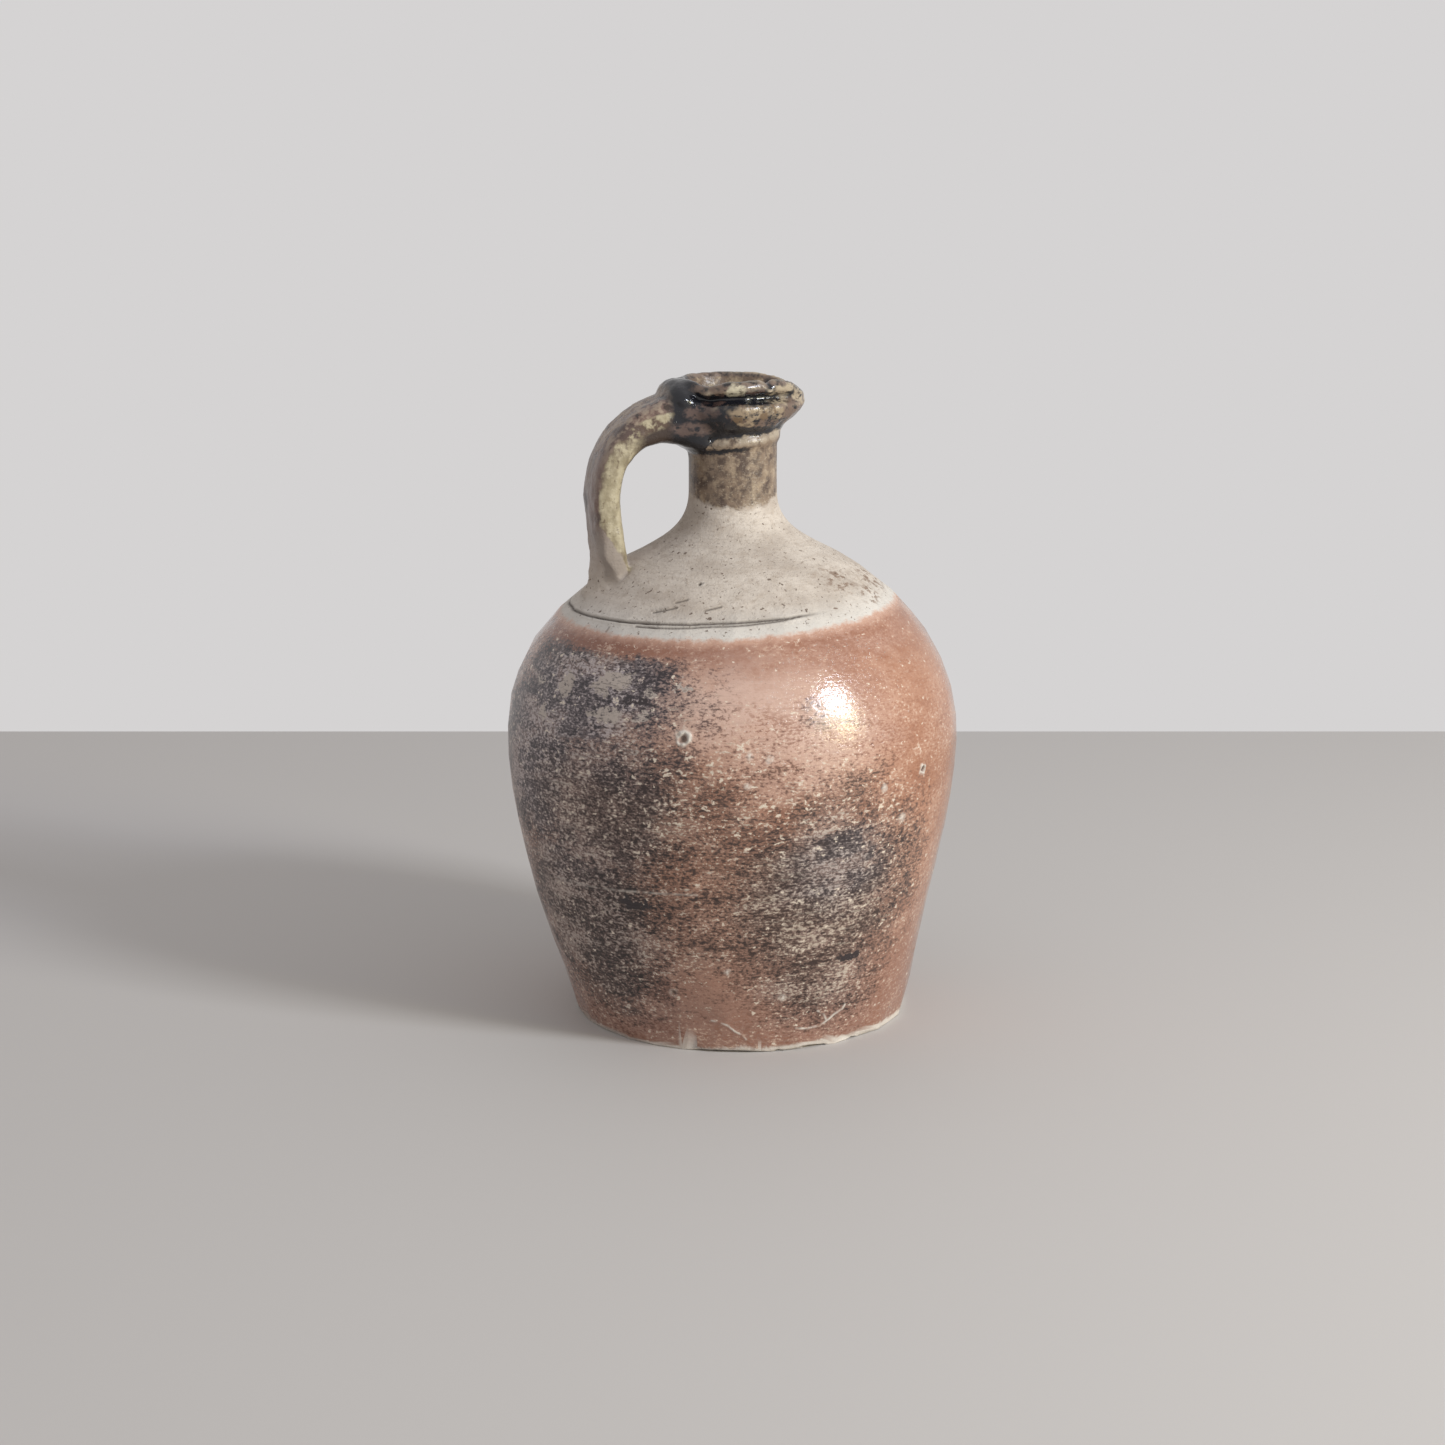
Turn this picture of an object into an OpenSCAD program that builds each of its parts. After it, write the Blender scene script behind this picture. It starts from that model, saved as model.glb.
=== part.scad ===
// Wheel-thrown stoneware juglet with one strap handle and a pinched pouring lip.
// Origin: centre of the foot, on the surface it stands on. +Z is up, +X is the
// pouring lip and the handle is on -X. All lengths are in millimetres.

/* [Body] */
// Diameter of the flat foot
foot_d = 114; // [104:1:122]
// Outward lean of the wall just above the foot, in degrees
foot_lean = 13.5; // [8:0.5:18]
// Largest diameter of the belly
belly_d = 154; // [144:1:164]
// Height of the widest part of the belly
belly_z = 95; // [85:1:105]
// Diameter of the shoulder where it is steepest to the axis
shoulder_d = 73.4; // [66:0.2:80]
// Height of the same place on the shoulder
shoulder_z = 156.4; // [150:0.2:162]
// Slope of the shoulder there, in degrees from level
shoulder_slope = 32; // [26:0.5:38]
// Thickness of the thrown wall of the body
wall = 5.5; // [4:0.1:6.5]
// Thickness of the floor at the middle
floor_t = 6.5; // [5:0.1:8]
// Width of the worn edge round the foot
foot_edge = 1.2; // [0.6:0.1:2]

/* [Incised line] */
// Width of the line cut round the shoulder
line_w = 1.6; // [0.8:0.1:2]
// Height of the middle of the line
line_z = 144.8; // [138:0.2:149]
// Rise of the line from the handle to the lip, in degrees
line_tilt = 3.2; // [0:0.1:4]

/* [Neck] */
// Outer diameter of the neck
neck_d = 29.6; // [27:0.2:34]
// Height at which the shoulder has curved up into the neck
neck_z = 179; // [174:0.5:184]
// Diameter of the bore that takes the cork
bore_d = 18.6; // [16:0.1:20]
// Height at which the straight bore starts to flare into the mouth
throat_z = 198; // [194:0.5:201]

/* [Collar] */
// Height of the rim above the foot
rim_z = 217.5; // [214:0.5:222]
// Height at which the collar springs from the neck
collar_z = 199.5; // [197:0.5:202]
// Diameter of the lower roll of the collar
lower_roll_d = 40; // [37:0.2:43]
// Diameter at the bottom of the groove between the two rolls
groove_d = 33.6; // [31:0.2:36]
// Diameter of the upper roll, under the rim
upper_roll_d = 37.4; // [35:0.2:40]
// Thickness of the wall at the mouth
mouth_wall = 4.2; // [3:0.1:5]
// Rise of the collar's lower edge from the handle to the lip, in degrees
collar_tilt = 5; // [0:0.5:6]

/* [Lip] */
// Distance of the pouring lip from the axis
lip_reach = 24.6; // [21:0.2:26]
// Half of the angle that the lip takes up, in degrees
lip_half_angle = 34; // [24:1:44]
// How far the rim is pinched in on each side of the lip
lip_pinch = 1; // [0:0.1:2]
// How far the rim drops at the lip
lip_drop = 2; // [0:0.2:3]

/* [Handle] */
// Distance of the middle of the strap from the axis
handle_reach = 44.8; // [40:0.2:50]
// Height of the upright stretch of the strap
handle_grip_z = 178; // [170:0.5:184]
// Width of the strap at the grip
strap_w = 23; // [18:0.5:26]
// Thickness of the strap at the grip
strap_t = 9.8; // [7:0.1:11]
// Width of the strap where it is pressed onto the collar
top_w = 27; // [22:0.5:29]
// Thickness of the strap where it is pressed onto the collar
top_t = 23; // [16:0.5:24]
// Width of the strap where it is pressed onto the shoulder
root_w = 34; // [24:0.5:38]
// Thickness of the strap where it is pressed onto the shoulder
root_t = 15; // [11:0.5:17]
// Distance from the axis at which the strap runs into the shoulder
root_reach = 45; // [42:0.5:48]

/* [Hidden] */

foot_r = foot_d / 2;
belly_r = belly_d / 2;
shoulder_r = shoulder_d / 2;
neck_r = neck_d / 2;
bore_r = bore_d / 2;
curve_steps = 14;

// Reach of the wall's curves towards their control points, as shares of their rise
foot_pull = 0.284;
belly_pull = 0.413;
shoulder_pull = 0.538;
collar_pull = 0.444;
neck_pull = 0.6;

function lerp(a, b, t) = a + (b - a) * t;
function ease(t) = let(s = min(1, max(0, t))) s * s * (3 - 2 * s);

function bezier(p, t) =
    pow(1 - t, 3) * p[0] + 3 * pow(1 - t, 2) * t * p[1] + 3 * (1 - t) * t * t * p[2] + pow(t, 3) * p[3];
function bezier_slope(p, t) =
    3 * pow(1 - t, 2) * (p[1] - p[0]) + 6 * (1 - t) * t * (p[2] - p[1]) + 3 * t * t * (p[3] - p[2]);

// Unit vector to the left of a curve's course, which is towards the clay's inner side
function inward(p, t) = let(d = bezier_slope(p, t)) [-d[1], d[0]] / norm(d);

// The thrown wall: foot to belly, belly to shoulder, shoulder to neck
belly_rise = belly_z;
shoulder_rise = shoulder_z - belly_z;
neck_rise = neck_z - shoulder_z;
slope_dir = [-cos(shoulder_slope), sin(shoulder_slope)];

foot_curve = [
    [foot_r, 0],
    [foot_r, 0] + foot_pull * belly_rise * [sin(foot_lean), cos(foot_lean)],
    [belly_r, belly_z - foot_pull * belly_rise],
    [belly_r, belly_z]
];
shoulder_curve = [
    [belly_r, belly_z],
    [belly_r, belly_z + belly_pull * shoulder_rise],
    [shoulder_r, shoulder_z] - shoulder_pull * shoulder_rise * slope_dir,
    [shoulder_r, shoulder_z]
];
neck_curve = [
    [shoulder_r, shoulder_z],
    [shoulder_r, shoulder_z] + collar_pull * neck_rise * slope_dir,
    [neck_r, neck_z - neck_pull * neck_rise],
    [neck_r, neck_z]
];

shoulder_points = [for (i = [1 : curve_steps]) bezier(shoulder_curve, i / curve_steps)];
neck_points = [for (i = [1 : curve_steps]) bezier(neck_curve, i / curve_steps)];

outer_profile = concat(
    [[0, 0], [foot_r - foot_edge, 0]],
    [for (i = [0 : curve_steps]) let(p = bezier(foot_curve, i / curve_steps)) if (p[1] > foot_edge / 2) p],
    shoulder_points,
    neck_points
);

// The hollow keeps the wall's thickness, and narrows to the bore inside the neck
neck_wall = neck_r - bore_r;
floor_round = 12;
function wall_at(i) = lerp(wall, neck_wall, ease(i / curve_steps));
hollow_wall = concat(
    [for (i = [0 : curve_steps]) let(t = i / curve_steps, p = bezier(foot_curve, t) + wall * inward(foot_curve, t))
        if (p[1] > floor_t + floor_round) p],
    [for (i = [1 : curve_steps]) let(t = i / curve_steps)
        bezier(shoulder_curve, t) + wall * inward(shoulder_curve, t)],
    [for (i = [1 : curve_steps]) let(t = i / curve_steps)
        bezier(neck_curve, t) + wall_at(i) * inward(neck_curve, t)]
);
floor_corner = [hollow_wall[0][0] - floor_round * tan(foot_lean), floor_t];
floor_curve = [
    [floor_corner[0] - floor_round, floor_t],
    [floor_corner[0] - floor_round / 3, floor_t],
    lerp(floor_corner, hollow_wall[0], 1 / 3),
    hollow_wall[0]
];
floor_points = [for (i = [0 : 5]) bezier(floor_curve, i / 6)];

// The neck ends inside the collar, and the bore runs up into the mouth
neck_top_z = lerp(collar_z, rim_z, 0.25);

module jug_wall() {
    rotate_extrude($fn = 96) polygon(concat(outer_profile, [[neck_r, neck_top_z], [0, neck_top_z]]));
}

module hollow() {
    rotate_extrude($fn = 96)
        polygon(concat([[0, floor_t]], floor_points, hollow_wall, [[bore_r, rim_z + 1], [0, rim_z + 1]]));
}

// The line's plane cuts the shoulder in a near circle, which sits a little towards the handle
function shoulder_r_at(z) = lookup(z, [for (p = shoulder_points) [p[1], p[0]]]);
line_rise = shoulder_r_at(line_z) * tan(line_tilt);
line_handle_r = shoulder_r_at(line_z - line_rise);
line_lip_r = shoulder_r_at(line_z + line_rise);
line_r = (line_handle_r + line_lip_r) / 2 / cos(line_tilt) + line_w * 0.15;
line_shift = (line_handle_r - line_lip_r) / 2;

// Line cut into the leather-hard shoulder with a point while the wheel turned
module shoulder_line() {
    translate([-line_shift, 0, line_z]) rotate([0, -line_tilt, 0])
        rotate_extrude($fn = 96) translate([line_r, 0]) circle(d = line_w, $fn = 8);
}

// A closed skin over equal rings of points, from the first ring to the last
module skin(rings) {
    count = len(rings);
    sides = len(rings[0]);
    polyhedron(
        points = [for (ring = rings) for (p = ring) p],
        faces = concat(
            [for (i = [0 : count - 2]) for (j = [0 : sides - 1]) for (half = [0, 1])
                let(a = i * sides, b = a + sides, k = (j + 1) % sides)
                half == 0 ? [a + j, b + j, b + k] : [a + j, b + k, a + k]],
            [[for (j = [0 : sides - 1]) j]],
            [[for (j = [0 : sides - 1]) count * sides - 1 - j]]
        )
    );
}

// Collar: a section of two rolls with a groove between them, carried round the mouth
collar_h = rim_z - collar_z;
lower_roll_r = lower_roll_d / 2;
upper_roll_r = upper_roll_d / 2;
groove_r = groove_d / 2;
collar_sides = 60;
mouth_r = upper_roll_r - mouth_wall;
throat_share = (throat_z - collar_z) / collar_h;

// Each row: radius, height above the collar's foot as a share of its height, how far it follows the lip
collar_section = [
    [neck_r - 2, -0.32, 0],
    [neck_r + 0.9, -0.13, 0],
    [neck_r + 0.4, 0, 0],
    [lerp(neck_r, lower_roll_r, 0.45), 0.14, 0.25],
    [lower_roll_r - 0.7, 0.3, 0.55],
    [lower_roll_r, 0.42, 0.75],
    [lower_roll_r - 0.5, 0.54, 0.95],
    [lerp(groove_r, lower_roll_r, 0.3), 0.61, 1],
    [groove_r, 0.67, 1],
    [lerp(groove_r, upper_roll_r, 0.55), 0.73, 1],
    [upper_roll_r, 0.84, 1],
    [upper_roll_r - 0.6, 0.93, 1],
    [upper_roll_r - mouth_wall * 0.45, 1, 1]
];
mouth_section = [
    [bore_r - 1, throat_share - 0.1, 0],
    [lerp(bore_r, mouth_r, 0.5), 0.25, 0.1],
    [lerp(bore_r, mouth_r, 0.85), 0.6, 0.8],
    [mouth_r, 0.88, 1],
    [mouth_r + mouth_wall * 0.1, 0.96, 1],
    [mouth_r + mouth_wall * 0.3, 1, 1],
    [mouth_r + mouth_wall * 0.3, 1.2, 1]
];

function lip_share(a) = exp(-pow(min(a, 360 - a) / lip_half_angle, 2));
function pinch_share(a) = exp(-pow((min(a, 360 - a) - 1.9 * lip_half_angle) / (0.7 * lip_half_angle), 2));

// The groove dies out at the lip, where both rolls run together
function groove_fill(row, a) =
    (row[1] > 0.56 && row[1] < 0.75) ? lip_share(a) * max(0, upper_roll_r - row[0]) : 0;

function collar_point(row, a, tilt) =
    let(
        r = row[0] + groove_fill(row, a)
            + row[2] * ((lip_reach - upper_roll_r) * lip_share(a) - lip_pinch * pinch_share(a)),
        rise = (1 - ease(row[1] / 0.6)) * r * cos(a) * tan(tilt),
        drop = ease((row[1] - 0.5) / 0.5) * lip_drop * lip_share(a)
    )
    [r * cos(a), r * sin(a), collar_z + row[1] * collar_h + rise - drop];

function collar_rings(section, tilt) =
    [for (row = section) [for (j = [0 : collar_sides - 1]) collar_point(row, j * 360 / collar_sides, tilt)]];

module collar() {
    skin(collar_rings(collar_section, collar_tilt));
}

module mouth() {
    skin(collar_rings(mouth_section, 0));
}

// Handle: a strap pulled from the collar, bent down and pressed onto the shoulder
handle_sides = 20;
handle_steps = 12;
handle_top_z = lerp(collar_z, rim_z, 0.28);
root_depth = 8.5;
root_z = lookup(root_reach, shoulder_points) - root_depth;

top_curve = [
    [neck_r - 5, handle_top_z],
    [lerp(neck_r, handle_reach, 0.5), handle_top_z + 3],
    [handle_reach, lerp(handle_grip_z, handle_top_z, 0.75)],
    [handle_reach, handle_grip_z]
];
root_curve = [
    [handle_reach, handle_grip_z],
    [handle_reach, lerp(handle_grip_z, root_z, 0.35)],
    [root_reach - 7, lerp(handle_grip_z, root_z, 0.65)],
    [root_reach, root_z]
];

// Rounded-rectangle section: s runs round it, w and t are its width and thickness
function strap_outline(w, t, s) =
    let(c = cos(s), k = sin(s))
    [t / 2 * sign(c) * sqrt(abs(c)), w / 2 * sign(k) * sqrt(abs(k))];

function strap_ring(curve, t, w, thick) =
    let(p = bezier(curve, t), d = bezier_slope(curve, t) / norm(bezier_slope(curve, t)))
    [for (j = [0 : handle_sides - 1])
        let(q = strap_outline(w, thick, j * 360 / handle_sides))
        [-(p[0] - d[1] * q[0]), q[1], p[1] + d[0] * q[0]]];

module handle() {
    skin(concat(
        [for (i = [0 : handle_steps]) let(t = i / handle_steps, swell = pow(1 - t, 2.2))
            strap_ring(top_curve, t, lerp(strap_w, top_w, swell), lerp(strap_t, top_t, swell))],
        [for (i = [1 : handle_steps]) let(t = i / handle_steps, flare = pow(t, 3))
            strap_ring(root_curve, t, lerp(strap_w, root_w, flare), lerp(strap_t, root_t, flare))]
    ));
}

module jug() {
    difference() {
        union() {
            color("#a06a45") jug_wall();
            color("#4a3a30") collar();
            color("#7d6f66") handle();
        }
        color("#b9ada0") hollow();
        color("#6b5546") mouth();
        color("#8d8378") shoulder_line();
    }
}

jug();
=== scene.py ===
# A wheel-thrown, salt-glazed stoneware juglet with a strap handle and a pinched pouring lip.
# Order: camera, light and floor; the clay; the marks cut and knocked into it; its glazes; the frame's calls.
import math
from functools import partial

import bmesh
import bpy
import numpy as np
from mathutils import Matrix, Vector, noise
from mathutils.bvhtree import BVHTree
from mathutils.kdtree import KDTree


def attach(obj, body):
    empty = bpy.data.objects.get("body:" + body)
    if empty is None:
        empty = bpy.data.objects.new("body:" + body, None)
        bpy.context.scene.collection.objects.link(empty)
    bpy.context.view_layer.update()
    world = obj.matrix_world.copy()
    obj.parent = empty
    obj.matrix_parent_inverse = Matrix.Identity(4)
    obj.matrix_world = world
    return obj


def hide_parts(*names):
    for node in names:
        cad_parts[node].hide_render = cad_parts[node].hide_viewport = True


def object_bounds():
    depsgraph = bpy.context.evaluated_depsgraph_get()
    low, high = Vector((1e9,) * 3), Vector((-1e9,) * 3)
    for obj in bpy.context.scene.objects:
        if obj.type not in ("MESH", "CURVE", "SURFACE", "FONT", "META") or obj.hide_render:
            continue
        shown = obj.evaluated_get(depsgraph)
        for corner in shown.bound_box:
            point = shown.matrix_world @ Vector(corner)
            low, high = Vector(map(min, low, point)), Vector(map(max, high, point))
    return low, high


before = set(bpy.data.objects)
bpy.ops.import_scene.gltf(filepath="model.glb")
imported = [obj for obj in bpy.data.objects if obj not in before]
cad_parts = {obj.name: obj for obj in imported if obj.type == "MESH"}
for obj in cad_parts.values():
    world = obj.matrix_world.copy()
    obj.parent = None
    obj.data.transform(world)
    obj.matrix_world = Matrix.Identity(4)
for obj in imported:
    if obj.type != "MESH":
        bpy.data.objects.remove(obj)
cadLow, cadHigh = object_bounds()

mm = 0.001

# The photograph's camera, from the ellipse of the foot and the outline. Lengths in mm, angles in degrees
camera = {
    "lens": 69.3,  # on a 36 mm sensor
    "turn": -14,  # about the pot's axis, towards the handle
    "tilt": 12.6,  # downwards
    "left": 3.3,
    "away": 930,
    "up": 307,
}


# A place given to the right, away and up as the photograph sees the pot, in mm, brought into the frame
def seen(right, away, up):
    return Matrix.Rotation(math.radians(camera["turn"]), 3, "Z") @ Vector((right, away, up)) * mm


def addCamera():
    bpy.ops.object.camera_add(
        location=seen(-camera["left"], -camera["away"], camera["up"]),
        rotation=(math.radians(90 - camera["tilt"]), 0, math.radians(camera["turn"])),
    )
    cam = bpy.context.object
    cam.data.lens = camera["lens"]
    cam.data.clip_end = 20
    bpy.context.scene.camera = cam


# One window to the right and a little in front, in a pale room: its upper pane shows the sky, its lower one
# sunlit leaves
light = {
    "windowTurn": 58,  # from the camera's side round to the right
    "windowRise": 22,
    "windowAway": 1500,
    # height of the middle over the window's, width, height, power and tone
    "panes": [(185, 300, 280, 13.4, "#e9f0ff"), (-150, 380, 360, 8.0, "#fff6cc")],
    "roomTone": "#d5d3d3",
    "roomGlow": 0.8,
    "floorTone": "#c3bfbc",
    "floorBack": 425,  # mm from the pot's axis to the table's far edge
    "floorReach": 1100,
    "floorThick": 30,
}


def toneOf(hexTone):
    if not isinstance(hexTone, str):
        return hexTone
    parts = [int(hexTone[i:i + 2], 16) / 255 for i in (1, 3, 5)]
    return tuple(p / 12.92 if p <= 0.04045 else ((p + 0.055) / 1.055) ** 2.4 for p in parts) + (1,)


# Adds one node: inputs by name or number, each a value or a socket; returns the output asked for
def addNode(tree, kind, inputs=None, out=0, **settings):
    node = tree.nodes.new("ShaderNode" + kind)
    for setting, value in settings.items():
        setattr(node, setting, value)
    for name, value in (inputs or {}).items():
        if isinstance(value, bpy.types.NodeSocket):
            tree.links.new(value, node.inputs[name])
        else:
            node.inputs[name].default_value = value
    return node.outputs[out] if node.outputs else node


def clearSelection():
    bpy.ops.object.select_all(action="DESELECT")


def pickOnly(obj):
    clearSelection()
    obj.select_set(True)
    bpy.context.view_layer.objects.active = obj


def applyModifier(obj, kind, **settings):
    pickOnly(obj)
    modifier = obj.modifiers.new(kind.lower(), kind)
    for setting, value in settings.items():
        setattr(modifier, setting, value)
    bpy.ops.object.modifier_apply(modifier=modifier.name)


def addLight():
    turn, rise = math.radians(light["windowTurn"]), math.radians(light["windowRise"])
    course = (math.cos(rise) * math.sin(turn), -math.cos(rise) * math.cos(turn), math.sin(rise))
    middle = Vector((0, 0, cadHigh.z / 2))
    away = seen(*course) * light["windowAway"]
    aim = (-away).to_track_quat("-Z", "Y")
    for up, wide, tall, power, tone in light["panes"]:
        bpy.ops.object.light_add(type="AREA", location=middle + away + aim @ Vector((0, up, 0)) * mm)
        pane = bpy.context.object
        pane.data.shape = "RECTANGLE"
        pane.data.size = wide * mm
        pane.data.size_y = tall * mm
        pane.data.energy = power
        pane.data.color = toneOf(tone)[:3]
        pane.rotation_euler = aim.to_euler()

    world = bpy.data.worlds.new("paleRoom")
    bpy.context.scene.world = world
    world.use_nodes = True
    tree = world.node_tree
    tree.nodes.clear()
    add = partial(addNode, tree)
    shown = add("LightPath", out="Is Camera Ray")
    path = shown.node
    for other in ("Is Glossy Ray", "Is Transmission Ray"):
        shown = add("Math", {0: shown, 1: path.outputs[other]}, operation="MAXIMUM")
    glow = add("Background", {"Color": toneOf(light["roomTone"]), "Strength": light["roomGlow"]})
    backdrop = add("Background", {"Color": toneOf(light["roomTone"]), "Strength": 1.0})
    mixed = add("MixShader", {0: shown, 1: glow, 2: backdrop})
    add("OutputWorld", {"Surface": mixed})


def addFloor():
    back, reach, thick = light["floorBack"], light["floorReach"], light["floorThick"]
    clearSelection()
    bpy.ops.mesh.primitive_cube_add(size=1)
    floor = bpy.context.object
    floor.name = "floor"
    floor.data.transform(Matrix.Diagonal((2 * reach * mm, (reach + back) * mm, thick * mm, 1)))
    floor.data.transform(Matrix.Translation((0, (back - reach) / 2 * mm, -thick / 2 * mm)))
    floor.data.transform(Matrix.Rotation(math.radians(camera["turn"]), 4, "Z"))
    applyModifier(floor, "BEVEL", width=2 * mm, segments=3)
    mat = bpy.data.materials.new("matt_painted_table")
    mat.use_nodes = True
    tree = mat.node_tree
    tree.nodes.clear()
    add = partial(addNode, tree)
    surface = add("BsdfPrincipled", {"Base Color": toneOf(light["floorTone"]), "Roughness": 0.7})
    add("OutputMaterial", {"Surface": surface})
    floor.data.materials.append(mat)


addCamera()
addLight()
addFloor()
print("camera, window and table stand")

# The clay. Radii, heights and thicknesses in mm; a knot is (radius, height, direction, pull back, pull on),
# and its direction is in degrees, 90 being straight up the wall
boxGap = 0.3  # keeps the clay's unevenness inside the frame's box
boxRest = 0.05  # left over after the clay's places are kept inside the box
pot = {
    "bellyR": cadHigh.x / mm - boxGap,
    "bellyZ": 95,
    "rimZ": cadHigh.z / mm - boxGap,
    "footR": 57,
    "footEdge": 1.2,
    "neckR": 14.8,
    "boreR": 9.3,
    "sides": 160,
    "steps": 24,
    # the foot and the shoulder stand this far to the right of the belly's axis: the foot up to a height, the
    # shoulder about a height and over a band up and down from it
    "footSlip": (2.7, 45),
    "shoulderSlip": (2.0, 152, 13),
    "voxel": 0.62,
    "triangles": 126000,  # of the clay before it is hollowed and marked
    "hollowSides": 64,
    "hollowSteps": 8,
}
wallKnots = [
    (0, 0, 0, 5, 20),
    (pot["footR"] - pot["footEdge"], 0, 0, 20, 0.4),
    (pot["footR"] + 0.2, pot["footEdge"], 76.5, 0.6, 26.5),
    (pot["bellyR"], pot["bellyZ"], 90, 27, 25.4),
    (36.7, 156.4, 148, 33, 10),
    (pot["neckR"], 179, 90, 13.6, 5),
    (pot["neckR"], 203, 90, 5, 1),
    (0, 204, 180, 4, 1),
]
hollowKnots = [
    (0, 6.5, 0, 5, 20),
    (42, 6.5, 0, 10, 4),
    (55, 18.5, 76, 8, 20),
    (71.3, 95, 90, 27, 24),
    (33.4, 152, 148, 30, 11),
    (pot["boreR"], 176, 90, 14, 1),
    (pot["boreR"], 181, 90, 1, 1),
    (pot["boreR"] - 1.2, 184, 135, 1, 1),
    (0, 186, 180, 3, 1),
]

# The collar's section, run up the outside from the neck and back down the middle
collarKnots = [
    (0, 192.5), (13.6, 192.5), (14.7, 193.8), (15.3, 194.8), (16.0, 196.2), (16.0, 197.4), (15.1, 198.6),
    (15.4, 199.8), (17.4, 202.0), (19.4, 204.4), (20.2, 207.0), (19.7, 209.0), (17.6, 210.0), (15.9, 210.8),
    (15.7, 212.0), (17.6, 213.1), (18.9, 214.4), (18.6, 216.3), (17.6, 217.2), (15.0, 217.2), (0, 217.2),
]
mouthKnots = [
    (0, 174), (pot["boreR"], 176), (pot["boreR"], 186), (pot["boreR"], 197), (10.2, 201), (12.4, 205),
    (14.0, 210), (14.7, 214), (15.4, 216), (17.0, 219), (18.5, 224), (0, 224),
]
lip = {
    "halfAngle": 34,
    "reach": 24.4,
    "pinch": 1.0,
    "drop": 2.8,
    "dropAngle": 27,
    # the lip's own section at its tip, as (radius, height)
    "nose": [
        (14.7, 193.8), (15.6, 196.2), (15.8, 198.0), (17.9, 200.4), (20.9, 203.0), (23.1, 206.0),
        (24.3, 209.0), (24.5, 211.5), (24.2, 213.6), (23.0, 215.2), (21.3, 216.4), (19.6, 217.2),
    ],
    "tilt": 5,  # the collar's lower edge climbs from the handle to the lip
    "foot": 199.5,
    "rollR": 18.7,
}


# Turns a section round the pot's axis, as the wheel does
def throwOn(name, knots, sides=pot["sides"], steps=pot["steps"]):
    clearSelection()
    bpy.ops.curve.primitive_bezier_curve_add(location=(0, 0, 0))
    curve = bpy.context.object
    curve.name = name
    points = curve.data.splines[0].bezier_points
    points.add(len(knots) - 2)
    for point, knot in zip(points, knots):
        place = Vector((knot[0], 0, knot[1])) * mm
        point.co = place
        if len(knot) > 2:
            course = math.radians(knot[2])
            onward = Vector((math.cos(course), 0, math.sin(course))) * mm
            point.handle_left_type = point.handle_right_type = "FREE"
            point.handle_left = place - onward * knot[3]
            point.handle_right = place + onward * knot[4]
        else:
            point.handle_left_type = point.handle_right_type = "AUTO"
    curve.data.resolution_u = steps if len(knots[0]) > 2 else 6
    bpy.ops.object.convert(target="MESH")
    solid = bpy.context.object
    # the ends of the section go exactly onto the axis
    for vertex in solid.data.vertices:
        if vertex.co.x < 1e-5:
            vertex.co.x = 0
    bpy.ops.object.mode_set(mode="EDIT")
    bpy.ops.mesh.select_all(action="SELECT")
    bpy.ops.mesh.spin(steps=sides, angle=math.tau, center=(0, 0, 0), axis=(0, 0, 1))
    bpy.ops.mesh.select_all(action="SELECT")
    bpy.ops.mesh.remove_doubles(threshold=1e-5)
    bpy.ops.mesh.normals_make_consistent(inside=False)
    bpy.ops.object.mode_set(mode="OBJECT")
    return solid


# Reads one property of all points, faces, corners or edges
def readAll(items, name, width=1, kind=np.int32):
    flat = np.empty(len(items) * width, dtype=kind)
    items.foreach_get(name, flat)
    return flat.reshape(-1, width)


def readPlaces(obj):
    return readAll(obj.data.vertices, "co", 3, np.float32).astype(float) / mm


def normalsOf(obj):
    return readAll(obj.data.vertices, "normal", 3, np.float32).astype(float)


def writePlaces(obj, places):
    obj.data.vertices.foreach_set("co", (places * mm).astype(np.float32).ravel())
    obj.data.update()


def ease(t):
    t = np.clip(t, 0, 1)
    return t * t * (3 - 2 * t)


def bell(t):
    return np.exp(-t * t)


# Pulls the pouring lip out of the collar and pinches the rim on both sides of it
def pullLip(obj, tilted):
    p = readPlaces(obj)
    r = np.hypot(p[:, 0], p[:, 1])
    a = np.arctan2(p[:, 1], p[:, 0])
    degrees = np.abs(np.degrees(a))
    share = (p[:, 2] - lip["foot"]) / (pot["rimZ"] - lip["foot"])
    lipShare = bell(degrees / lip["halfAngle"])
    pinchShare = bell((degrees - 1.9 * lip["halfAngle"]) / (0.7 * lip["halfAngle"]))
    follow = ease(share / 0.4) * ease((r - 4) / 6)
    rise = (1 - ease(share / 0.6)) * r * np.cos(a) * math.tan(math.radians(lip["tilt"])) * tilted
    if tilted:
        nose, roll = np.array(lip["nose"]), np.array(collarKnots[1:18])
        pull = np.interp(p[:, 2], nose[:, 1], nose[:, 0]) - np.interp(p[:, 2], roll[:, 1], roll[:, 0])
        r = r + ease((r - 4) / 6) * pull * lipShare
    else:
        r = r + follow * (lip["reach"] - lip["rollR"]) * lipShare
    r = r - follow * lip["pinch"] * pinchShare
    sag = bell(degrees / lip["dropAngle"]) * lip["drop"]
    p[:, 2] += rise - ease((share - 0.35) / 0.65) * sag * ease((r - 14) / 10)
    p[:, 0], p[:, 1] = r * np.cos(a), r * np.sin(a)
    writePlaces(obj, p)


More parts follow.
